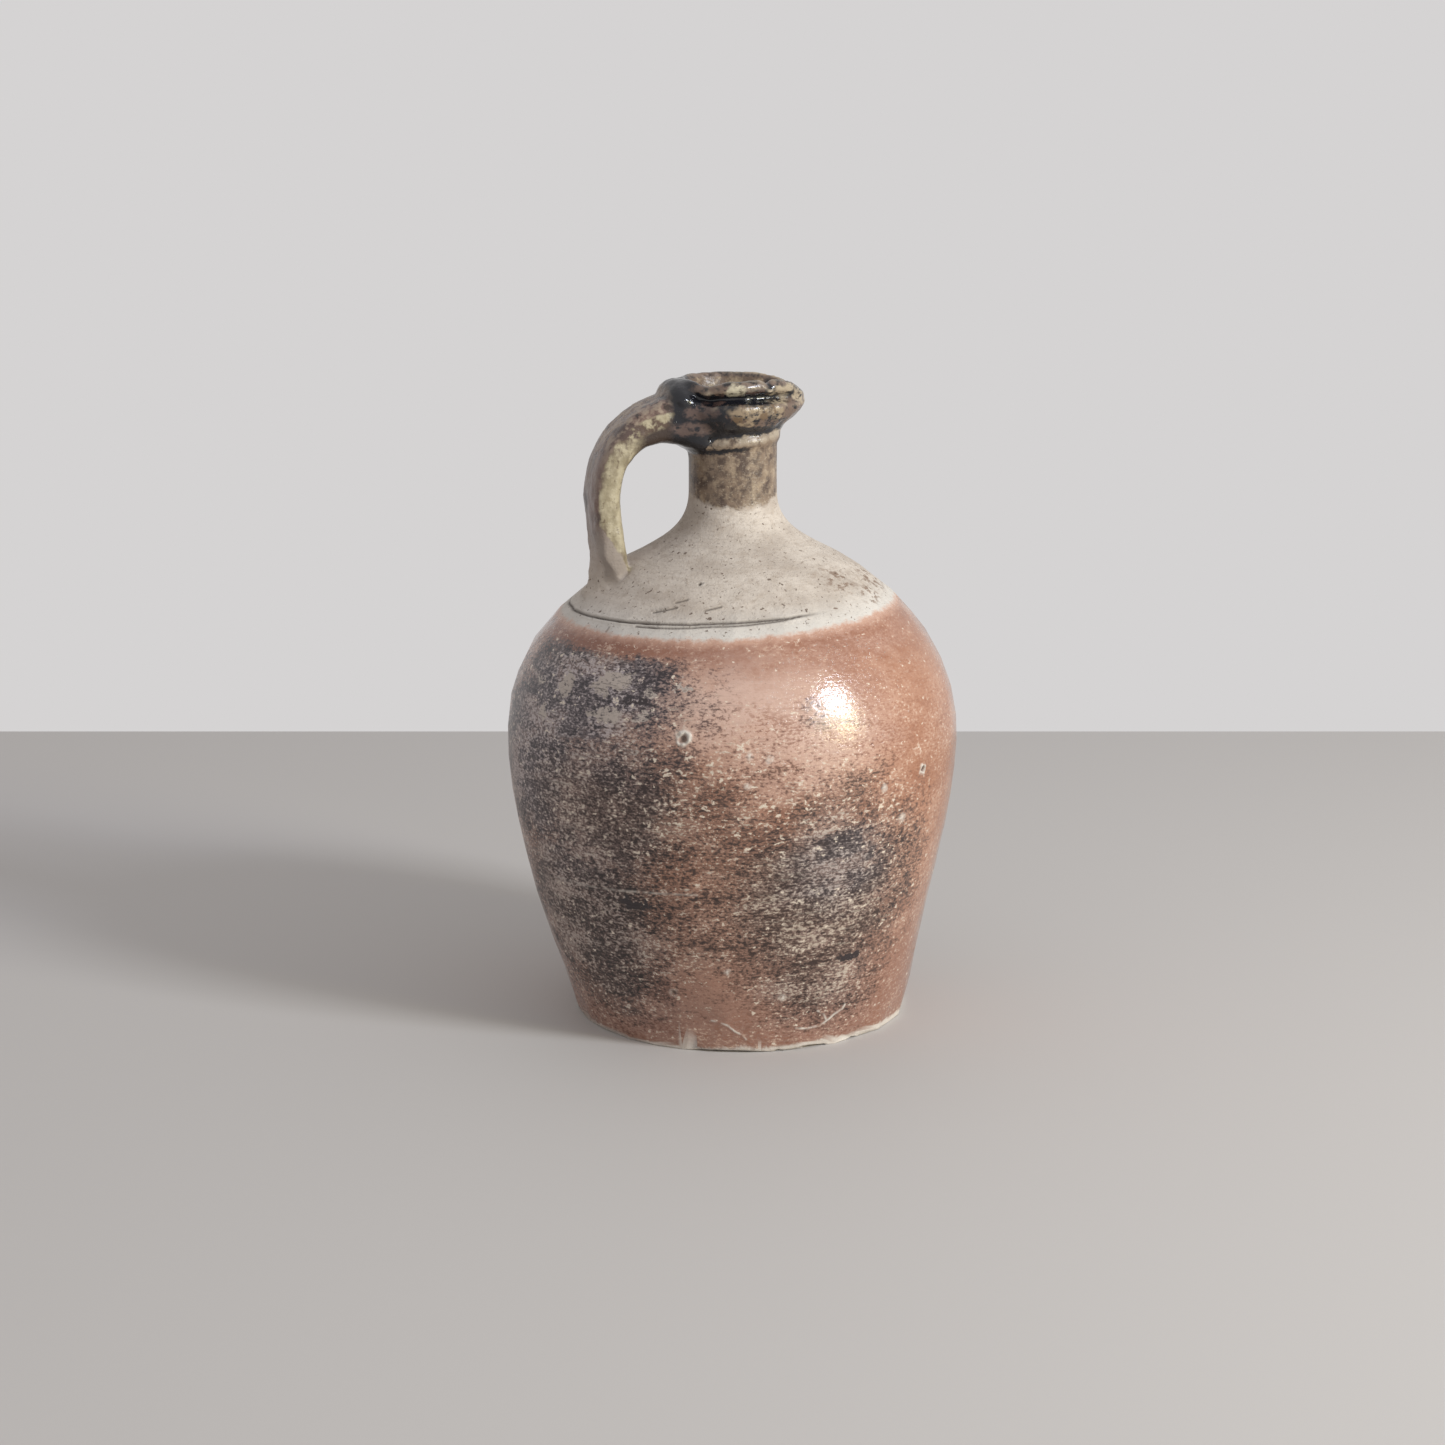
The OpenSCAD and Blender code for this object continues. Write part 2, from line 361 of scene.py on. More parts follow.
# The strap: a pulled strip of clay, bent from the collar down to the shoulder
strap = {
    "top": [(9.8, 202.5), (29.8, 208.2), (44.8, 197.6), (44.8, 178)],
    "root": [(44.8, 178), (44.8, 165.3), (39.0, 154.2), (48.2, 141.8)],
    "gripWide": 23,
    "gripThick": 9.8,
    "topWide": 27,
    "topThick": 23,
    "rootWide": 27,
    "rootThick": 16,
    "edgeLeft": 1.6,  # what is left of the strap's edge where it was thumbed down at the root
    "rings": 26,
    "corners": 28,
}


def alongCurve(curve, t):
    a, b, c, d = [np.array(q, float) for q in curve]
    place = (1 - t) ** 3 * a + 3 * (1 - t) ** 2 * t * b + 3 * (1 - t) * t * t * c + t ** 3 * d
    course = 3 * (1 - t) ** 2 * (b - a) + 6 * (1 - t) * t * (c - b) + 3 * t * t * (d - c)
    return place, course / np.linalg.norm(course)


# Each station down the strap: its place, course, width, thickness and how far out its edges stand
def strapStations():
    stations = []
    for i in range(strap["rings"] + 1):
        t = i / strap["rings"]
        wide = strap["gripWide"] + (strap["topWide"] - strap["gripWide"]) * (1 - t) ** 2.2
        thick = strap["gripThick"] + (strap["topThick"] - strap["gripThick"]) * (1 - t) ** 2.8
        stations.append((*alongCurve(strap["top"], t), wide, thick, thick / 2))
    for i in range(1, strap["rings"] + 1):
        t = i / strap["rings"]
        wide = strap["gripWide"] + (strap["rootWide"] - strap["gripWide"]) * t ** 3
        thick = strap["gripThick"] + (strap["rootThick"] - strap["gripThick"]) * t ** 3
        thumbed = ease((t - 0.3) / 0.6)
        arris = thick / 2 * (1 - thumbed) + (strap["edgeLeft"] - thick / 2) * thumbed
        stations.append((*alongCurve(strap["root"], t), wide, thick, arris))
    return stations


def pullStrap():
    clearSelection()
    bpy.ops.mesh.primitive_circle_add(vertices=strap["corners"], fill_type="NGON", location=(0, 0, 0))
    obj = bpy.context.object
    obj.name = "strap"
    bpy.ops.object.mode_set(mode="EDIT")
    ring = bmesh.from_edit_mesh(obj.data)
    for i, (place, course, wide, thick, arris) in enumerate(strapStations()):
        if i:
            bpy.ops.mesh.extrude_region_move()
            ring = bmesh.from_edit_mesh(obj.data)
        picked = sorted((v for v in ring.verts if v.select), key=lambda v: v.index)
        for j, vertex in enumerate(picked):
            angle = math.tau * j / strap["corners"]
            c, s = math.cos(angle), math.sin(angle)
            across = thick / 2 * math.copysign(abs(c) ** 0.55, c)
            side = wide / 2 * math.copysign(abs(s) ** 0.5, s)
            crown = arris + (thick / 2 - arris) * (1 - abs(2 * side / wide) ** 2.2)
            across = min(across, crown)
            vertex.co = Vector((-(place[0] - course[1] * across), side, place[1] + course[0] * across)) * mm
        bmesh.update_edit_mesh(obj.data)
    bpy.ops.mesh.select_all(action="SELECT")
    bpy.ops.mesh.normals_make_consistent(inside=False)
    bpy.ops.object.mode_set(mode="OBJECT")
    return obj


# A pad of clay worked over the strap's beginning, up to the rim: its middle and its radii
padShape = (-19.2, 0, 210.8), (6.2, 13.4, 6.4)


def pressPad():
    clearSelection()
    bpy.ops.mesh.primitive_ico_sphere_add(subdivisions=4, radius=1, location=(0, 0, 0))
    pad = bpy.context.object
    pad.name = "pad"
    for point in pad.data.vertices:
        point.co = [(middle + radius * part) * mm for middle, radius, part in zip(*padShape, point.co)]
    return pad


# Degrees from the side facing the photograph's camera round to its right
def turnOf(places):
    turn = np.degrees(np.arctan2(places[:, 1], places[:, 0])) + 90 - camera["turn"]
    return (turn + 180) % 360 - 180


def distanceTo(tree, places):
    return np.array([tree.find_nearest(Vector(p * mm))[3] for p in places]) / mm


# How far the smoothing and the unevenness go. Lengths in mm
handling = {
    "joinBand": 5.0,  # the thumbed clay on each side of a joint
    "joinPasses": 40,
    "rootKept": 0.8,  # the strap's root is thumbed less than its top
    "ringSpacing": 5.4,  # throwing rings
    "ringHeight": 0.07,
    "swellSize": 32,
    "swellHeight": 0.7,
    "knobSize": 5.0,  # lumps left by the fingers on collar and strap
    "knobHeight": 0.8,
}


def fillGroup(obj, name, weights):
    group = obj.vertex_groups.new(name=name)
    steps = 20
    levels = np.round(weights * steps).astype(int)
    for level in range(1, steps + 1):
        picked = np.flatnonzero(levels == level).tolist()
        if picked:
            group.add(picked, level / steps, "REPLACE")
    return name


def displaceBy(obj, name, size, height, group=""):
    texture = bpy.data.textures.new(name, "CLOUDS")
    texture.noise_scale = size * mm
    texture.noise_depth = 2
    applyModifier(
        obj, "DISPLACE", texture=texture, texture_coords="LOCAL", direction="NORMAL",
        mid_level=0.5, strength=height * mm, vertex_group=group,
    )


def makeClay():
    wall = throwOn("juglet", wallKnots)
    collar = throwOn("collar", collarKnots)
    pullLip(collar, 1)
    mouth = throwOn("mouth", mouthKnots)
    pullLip(mouth, 0)
    handle = pullStrap()
    pad = pressPad()
    print("wall, collar, strap and mouth are shaped")

    bpy.context.view_layer.update()
    depsgraph = bpy.context.evaluated_depsgraph_get()
    strapTree, wallTree, collarTree = [BVHTree.FromObject(part, depsgraph) for part in (handle, wall, collar)]
    for part in (collar, handle, pad):
        applyModifier(wall, "BOOLEAN", object=part, operation="UNION", solver="EXACT")
    applyModifier(wall, "BOOLEAN", object=mouth, operation="DIFFERENCE", solver="EXACT")
    for part in (collar, handle, pad, mouth):
        bpy.data.objects.remove(part)
    applyModifier(wall, "REMESH", mode="VOXEL", voxel_size=pot["voxel"] * mm)
    print("joined clay:", len(wall.data.vertices), "points")

    # thumb the joints of strap, collar and shoulder into each other
    p = readPlaces(wall)
    near = np.flatnonzero((p[:, 0] < -4) & (p[:, 2] > 138))
    band = handling["joinBand"]
    toStrap = distanceTo(strapTree, p[near])
    toPot = np.minimum(distanceTo(wallTree, p[near]), distanceTo(collarTree, p[near]))
    weights = np.zeros(len(p))
    weights[near] = ease(1.15 - np.maximum(toStrap, toPot) / band)
    weights[near] *= 1 - handling["rootKept"] * (p[near, 2] < 165)
    joints = fillGroup(wall, "joints", weights)
    applyModifier(wall, "SMOOTH", factor=0.5, iterations=handling["joinPasses"], vertex_group=joints)
    applyModifier(wall, "SMOOTH", factor=0.5, iterations=2)

    p = readPlaces(wall)
    handmade = ease((p[:, 2] - 193) / 6)
    handmade[near] = np.maximum(handmade[near], ease(1.6 - toStrap))
    displaceBy(wall, "swell", handling["swellSize"], handling["swellHeight"])
    group = fillGroup(wall, "handmade", handmade)
    displaceBy(wall, "knobs", handling["knobSize"], handling["knobHeight"], group)
    return wall, strapTree


# The rim sinks left of the photograph's middle and has one small notch towards the lip. Each is its depth,
# its turn and half width, the height where it starts and the height it takes to reach its depth
rimDips = [(1.8, -29, 17, 208, 8), (1.2, 43.7, 6, 212, 4)]


def sinkRim(obj):
    p = readPlaces(obj)
    turn = turnOf(p)
    r, z = np.hypot(p[:, 0], p[:, 1]), p[:, 2].copy()
    onRim = ease((r - 9) / 4) * (r < 26)
    for deep, middle, wide, foot, tall in rimDips:
        dips = deep * bell((turn - middle) / wide) * ease((z - foot) / tall)
        p[:, 2] -= dips * onRim
    writePlaces(obj, p)


# Draws places in from beyond the frame's box
def keepInBox(places):
    widest = np.maximum(np.abs(places[:, :2]).max(axis=1), 1)
    aside = places[:, :2] * np.minimum(1, (cadHigh.x / mm - boxRest) / widest)[:, None]
    return np.column_stack((aside, np.clip(places[:, 2], 0, cadHigh.z / mm - boxRest)))


# Rings of the thrower's fingers, and the foot and shoulder that stand a little to one side
def leanAndRing(obj):
    p = readPlaces(obj)
    normal = normalsOf(obj)
    angle = np.arctan2(p[:, 1], p[:, 0])
    drift = 0.8 * np.sin(angle) + 0.5 * np.sin(2 * angle + 1.0)
    phase = math.tau * p[:, 2] / handling["ringSpacing"] + drift
    ring = np.sin(phase) * np.sin(phase * 0.37 + 1) * handling["ringHeight"]
    body = ease(p[:, 2] / 6) * ease((150 - p[:, 2]) / 12)
    p += normal * (ring * body)[:, None]
    offStrap = 1 - ease((p[:, 2] - 148) / 6) * ease((-28 - p[:, 0]) / 9)
    reach, end = pot["footSlip"]
    slip = reach * (1 - ease(p[:, 2] / end))
    reach, middle, band = pot["shoulderSlip"]
    slip += reach * bell((p[:, 2] - middle) / band) * offStrap
    toRight = np.array(seen(1, 0, 0)) / mm
    p += toRight * slip[:, None]
    # the foot stays flat
    onFoot = (p[:, 2] < 0.4) & (np.hypot(p[:, 0], p[:, 1]) < pot["footR"] - 3)
    p[onFoot, 2] = 0
    writePlaces(obj, keepInBox(p))


def countTriangles(obj):
    return sum(len(face.vertices) - 2 for face in obj.data.polygons)


def lightenAndHollow(obj):
    obj.vertex_groups.clear()
    p = readPlaces(obj)
    plain = 0.25 + 0.75 * ease((170 - p[:, 2]) / 20)
    onStrap = (p[:, 0] < -30) & (p[:, 2] > 148)
    plain[onStrap] = 0.25
    group = fillGroup(obj, "plain", plain)
    ratio = pot["triangles"] / countTriangles(obj)
    applyModifier(obj, "DECIMATE", ratio=ratio, vertex_group=group, vertex_group_factor=1.0)
    obj.vertex_groups.clear()
    bpy.context.view_layer.update()
    outerTree = BVHTree.FromObject(obj, bpy.context.evaluated_depsgraph_get())
    hollow = throwOn("hollow", hollowKnots, pot["hollowSides"], pot["hollowSteps"])
    applyModifier(obj, "BOOLEAN", object=hollow, operation="DIFFERENCE", solver="EXACT")
    bpy.data.objects.remove(hollow)
    print("hollowed clay:", countTriangles(obj), "triangles")
    return outerTree


# Marks cut by tools, knocked by wear or left by the kiln. A place on the pot is its turn in degrees and its
# height in mm. Widths and depths are in mm, and a negative depth stands proud
marks = {
    "ringEnds": (-100, 36),  # the turns between which the line round the shoulder can be seen
    "ringFade": 20,
    "ringHeight": 144.5,
    "ringTilt": 3.2,
    "ringWidth": 0.5,
    "ringDepth": 0.75,
    # width, depth, places
    "lines": [
        (0.4, 0.45, [(-34, 141.2), (-20, 141.7), (-10, 142.4), (5, 143.2), (15, 144.0), (24, 145.0)]),
        (0.4, 0.40, [(-30.2, 145.4), (-21.3, 147.3)]),
        (0.4, 0.40, [(-22.9, 148.6), (-18.1, 149.6)]),
        (0.4, 0.40, [(-10.3, 146.9), (-4.1, 148.1)]),
        (0.4, 0.30, [(-44.6, 139.9), (-44.6, 138.5)]),
        (0.32, -0.30, [(-6.6, 11.9), (-4.6, 11.6), (-1.6, 10.4), (0.9, 8.0), (3.2, 6.6), (4.7, 4.8)]),
        (0.35, -0.38, [(20.5, 8.3), (24.5, 7.6), (28.5, 8.0), (31.2, 9.4)]),
        (0.38, -0.42, [(31.2, 9.4), (33.6, 11.4), (36.4, 12.6), (37.4, 14.6)]),
        (0.30, -0.22, [(31.2, 9.4), (29.6, 12.2), (27.0, 14.0)]),
        (0.34, -0.12, [(-55.6, 55.9), (-40, 56.4), (-24, 57.6), (-8.9, 58.2)]),
    ],
    # turn, height, radius, depth of the hollow, height of its lip
    "craters": [
        (-12.1, 110.5, 2.0, 0.40, 0.55),
        (54.1, 93.6, 1.4, 1.00, 0.45),
        (-15.2, 153.9, 1.1, 0.60, 0.10),
        (-18.2, 21.5, 1.3, 0.55, 0.05),
        (4.0, 105.0, 1.0, -0.20, 0.05),
        (8.8, 103.9, 1.1, -0.20, 0.05),
        (3.5, 95.4, 1.0, -0.20, 0.05),
        (39.7, 90.7, 1.2, -0.20, 0.05),
        (46.9, 78.8, 1.4, -0.22, 0.05),
        (-1.6, 30.4, 1.0, -0.20, 0.05),
        (15.1, 20.3, 1.1, -0.20, 0.05),
        (130, 88, 1.3, 0.50, 0.25),
        (-150, 60, 1.2, 0.60, 0.30),
    ],
    "chipSize": 6.0,
    "chipDepth": 0.8,
    "bareFoot": 1.2,  # height of the bare clay along the foot, and how much higher it is about a turn
    "bareMore": (1.2, 40, 34),
    "bareUneven": 1.1,
    # faces larger than this are split, in passes, within a band beside each mark and along the foot
    "faceSize": 0.42,
    "markBand": 1.0,
    "footFaceSize": 1.15,
    "footBand": 4.5,
    "passes": 6,
}


def spotOn(tree, turn, height):
    angle = math.radians(turn - 90 + camera["turn"])
    outward = Vector((math.cos(angle), math.sin(angle), 0))
    return np.array(tree.ray_cast(outward * 0.2 + Vector((0, 0, height * mm)), -outward)[0]) / mm


# The line cut round the shoulder; its points carry how much of its depth is left there
def ringLine():
    tilt = math.tan(math.radians(marks["ringTilt"]))
    start, end = marks["ringEnds"]
    points = []
    for turn in range(start, end + 1, 4):
        height = marks["ringHeight"] + 54 * tilt * math.cos(math.radians(turn - 90 + camera["turn"]))
        deep = float(ease((end - turn) / marks["ringFade"]) * ease((turn - start) / marks["ringFade"]))
        points.append((turn, height, deep))
    return marks["ringWidth"], marks["ringDepth"], points


# Every line as close-set points on the surface, each with its width and depth
def traceLines(tree):
    rows = []
    for width, depth, points in [ringLine()] + marks["lines"]:
        points = [(*point, 1)[:3] for point in points]
        spots = [spotOn(tree, *point[:2]) for point in points]
        for start, end, spotA, spotB in zip(points, points[1:], spots, spots[1:]):
            steps = max(2, int(np.linalg.norm(spotA - spotB) / 0.4))
            for turn, height, share in np.linspace(start, end, steps, endpoint=False):
                rows.append((*spotOn(tree, turn, height), width, depth * share))
    return np.array(rows)


def nearestRows(rows, places):
    tree = KDTree(len(rows))
    for i, row in enumerate(rows):
        tree.insert(row[:3], i)
    tree.balance()
    found = [tree.find(p)[1:] for p in places]
    return np.array([f[0] for f in found]), np.array([f[1] for f in found])


# Splits the faces that the test picks by their centres and radii, again and again
def refineWhere(obj, test):
    for _ in range(marks["passes"]):
        mesh = obj.data
        starts = readAll(mesh.polygons, "loop_start").ravel()
        corners = readAll(mesh.loops, "vertex_index").ravel()
        centres = readAll(mesh.polygons, "center", 3, np.float32).astype(float) / mm
        counts = np.diff(np.append(starts, len(corners)))
        away = np.linalg.norm(readPlaces(obj)[corners] - np.repeat(centres, counts, axis=0), axis=1)
        picked = test(centres, np.maximum.reduceat(away, starts))
        if not picked.any():
            return
        pickOnly(obj)
        bpy.context.tool_settings.mesh_select_mode = (False, False, True)
        bpy.ops.object.mode_set(mode="EDIT")
        bpy.ops.mesh.select_all(action="DESELECT")
        bpy.ops.object.mode_set(mode="OBJECT")
        mesh.polygons.foreach_set("select", picked)
        bpy.ops.object.mode_set(mode="EDIT")
        bpy.ops.mesh.subdivide(number_cuts=1)
        bpy.ops.object.mode_set(mode="OBJECT")


def chipNoise(places, size):
    return np.array([noise.noise(Vector(p / size)) for p in places])


def writeValues(obj, name, values):
    attribute = obj.data.attributes.new(name, "FLOAT", "POINT")
    attribute.data.foreach_set("value", values.astype(np.float32))


# How far each place lies out from the middle of the strap, in mm
def outFromStrap(places):
    stations = strapStations()
    middles = np.array([(-place[0], place[1]) for place, *_ in stations])
    outward = np.array([(course[1], course[0]) for _, course, *_ in stations])
    gaps = places[:, None, (0, 2)] - middles[None]
    nearest = np.argmin((gaps ** 2).sum(axis=2), axis=1)
    return (gaps[np.arange(len(places)), nearest] * outward[nearest]).sum(axis=1)


# How sharply the surface bulges at each point, in 1/mm, averaged over its neighbours
def bulgeOf(obj):
    p, normal = readPlaces(obj), normalsOf(obj)
    a, b = readAll(obj.data.edges, "vertices", 2).T

    def gather(atA, atB):
        return np.bincount(a, atA, minlength=len(p)) + np.bincount(b, atB, minlength=len(p))

    count = gather(None, None)
    lift = ((p[a] - p[b]) * normal[a]).sum(axis=1), ((p[b] - p[a]) * normal[b]).sum(axis=1)
    size = np.maximum(((p[a] - p[b]) ** 2).sum(axis=1), 0.01)
    bulge = 2 * gather(lift[0] / size, lift[1] / size) / count
    for _ in range(3):
        bulge = 0.4 * bulge + 0.6 * gather(bulge[b], bulge[a]) / count
    return bulge


def carveMarks(obj, outerTree, strapTree):
    bpy.context.view_layer.update()
    tree = BVHTree.FromObject(obj, bpy.context.evaluated_depsgraph_get())
    rows = traceLines(tree)
    craters = np.array([(*spotOn(tree, c[0], c[1]), *c[2:]) for c in marks["craters"]])

    spots = [row[:3] for row in rows]
    for crater in craters:
        for angle in np.linspace(0, math.tau, 12, endpoint=False):
            spots.append(crater[:3] + crater[3] * np.array((math.cos(angle), 0, math.sin(angle))))
            spots.append(crater[:3] + crater[3] * np.array((0, math.cos(angle), math.sin(angle))))
    spots = np.array(spots)

    def byMarks(middle, size):
        return (size > marks["faceSize"]) & (nearestRows(spots, middle)[1] < marks["markBand"] + size)

    def atFoot(middle, size):
        low = middle[:, 2] - size < marks["footBand"]
        return (size > marks["footFaceSize"]) & low & (np.hypot(*middle[:, :2].T) > pot["footR"] - 2)

    refineWhere(obj, byMarks)
    refineWhere(obj, atFoot)
    print("cut round the marks:", countTriangles(obj), "triangles")

    p, normal = readPlaces(obj), normalsOf(obj)
    r, turn = np.hypot(p[:, 0], p[:, 1]), turnOf(p)
    row, toLine = nearestRows(rows, p)
    width, depth = rows[row, 3], rows[row, 4]
    wobble = 0.75 + 0.5 * chipNoise(p, 3.0)
    across = bell(toLine / width)
    lower = depth * wobble * across - 0.22 * np.abs(depth) * bell((toLine - 2.1 * width) / (0.8 * width))
    # how much darker each cut line is painted, and below each pit's hollow
    cut = across * np.clip(depth / 0.5, 0, 1)
    broken = np.clip(0.6 + 1.4 * chipNoise(p, 2.4), 0, 1)
    bare = across * np.clip(-depth / 0.18, 0, 1.3) * broken
    for x, y, z, radius, hollow, edge in craters:
        away = np.linalg.norm(p - (x, y, z), axis=1)
        near = away < 3.5 * radius
        away[near] += 0.45 * radius * chipNoise(p[near], 0.9 * radius)
        uneven = np.zeros(len(p))
        uneven[near] = np.clip(1.0 + 1.6 * chipNoise(p[near], 0.8 * radius), 0, 1.5)
        within = bell(away / (0.62 * radius))
        ridge = bell((away - radius) / (0.33 * radius)) * uneven
        lower += hollow * within - edge * ridge
        cut += within * np.clip(hollow / 0.5, 0, 1)
        bare += 1.5 * ridge * np.clip(edge / 0.3, 0, 1)
        bare += within * np.clip(-hollow / 0.15, 0, 1) * uneven

    # small breaks along the foot's edge, with bare clay showing there and most of it right of the middle
    toEdge = np.hypot(r - pot["footR"], p[:, 2])
    chips = ease((chipNoise(p, marks["chipSize"]) - 0.12) / 0.25) * bell(toEdge / 1.4)
    lower += chips * marks["chipDepth"]
    more, middle, wide = marks["bareMore"]
    limit = marks["bareFoot"] + more * bell((turn - middle) / wide) + marks["bareUneven"] * chipNoise(p, 4.0)
    bare += ease((limit - p[:, 2]) / 0.7 + 0.5) * (r > 50) * (p[:, 2] < 5) + chips

    p = keepInBox(p - normal * lower[:, None])
    writePlaces(obj, p)

    radial = (normal[:, :2] * p[:, :2]).sum(axis=1) / np.maximum(r, 1)
    inMouth = (p[:, 2] > 176) & (p[:, 2] < 216) & (r < 16.5) & (radial < 0.05)
    inside = (distanceTo(outerTree, p) > 1.5) | inMouth
    strapped = ease((2.2 - distanceTo(strapTree, p)) / 1.6) * (p[:, 0] < -16) * ~inside
    bulge = bulgeOf(obj)
    edged, dipped = ease((bulge - 0.18) / 0.4), ease((-bulge - 0.1) / 0.25)
    shares = {"cut": cut, "bare": bare, "inside": inside, "strap": strapped, "edge": edged, "dip": dipped}
    for name, values in shares.items():
        writeValues(obj, name, np.clip(values, 0, 1))
    writeValues(obj, "strapAcross", outFromStrap(p))


jug, strapTree = makeClay()
leanAndRing(jug)
sinkRim(jug)
outerTree = lightenAndHollow(jug)
carveMarks(jug, outerTree, strapTree)
pickOnly(jug)
bpy.ops.object.shade_smooth()
print("marked clay:", countTriangles(jug), "triangles")

